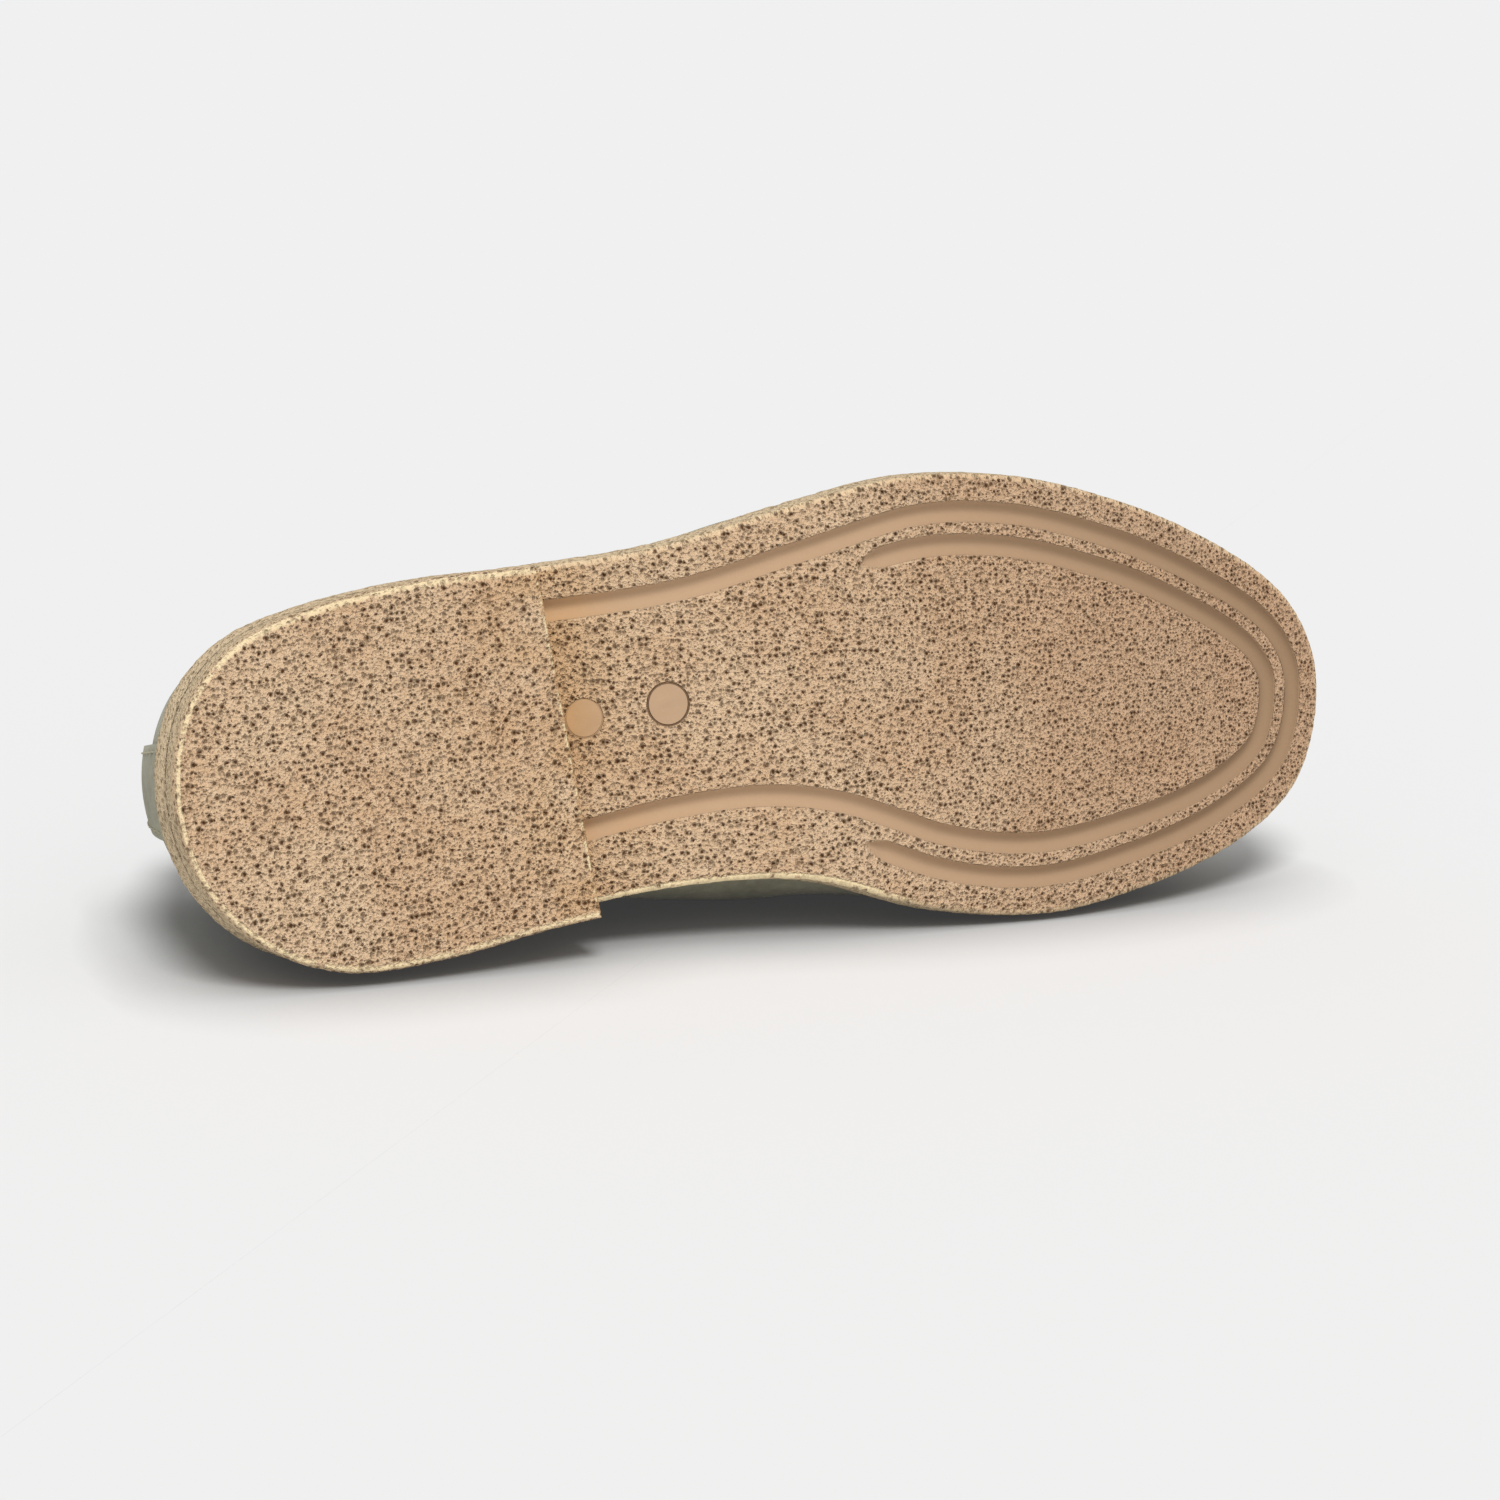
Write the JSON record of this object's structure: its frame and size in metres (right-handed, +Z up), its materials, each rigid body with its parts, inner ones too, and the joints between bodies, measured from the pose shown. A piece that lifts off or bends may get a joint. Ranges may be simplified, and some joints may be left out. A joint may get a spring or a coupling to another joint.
{
  "type": "suede moccasin",
  "caption": "Low suede moccasin for the right foot, with a pitted crepe-rubber sole, a slanted heel block and a strap over the instep, lying on its side.",
  "frame": {"origin": "middle of the floor under the lying shoe's bounding box", "axes": "+X from heel to toe, level; +Z up, towards the shoe's lateral side; -Y the way the tread faces"},
  "size_m": [0.2932, 0.0866, 0.1041],
  "materials": {
    "crepe": "matt pitted crepe rubber, pale tan, with brown pits",
    "suede": "napped suede, pale sage green",
    "binding": "smooth-edged suede binding, a shade darker",
    "lining": "smooth natural leather"
  },
  "bodies": {
    "root": {"outsole": "crepe", "heel": "crepe", "insole": "lining", "upper": "suede", "tongue": "suede", "saddle": "suede", "back_strip": "suede", "collar_binding": "binding"}
  },
  "joints": []
}
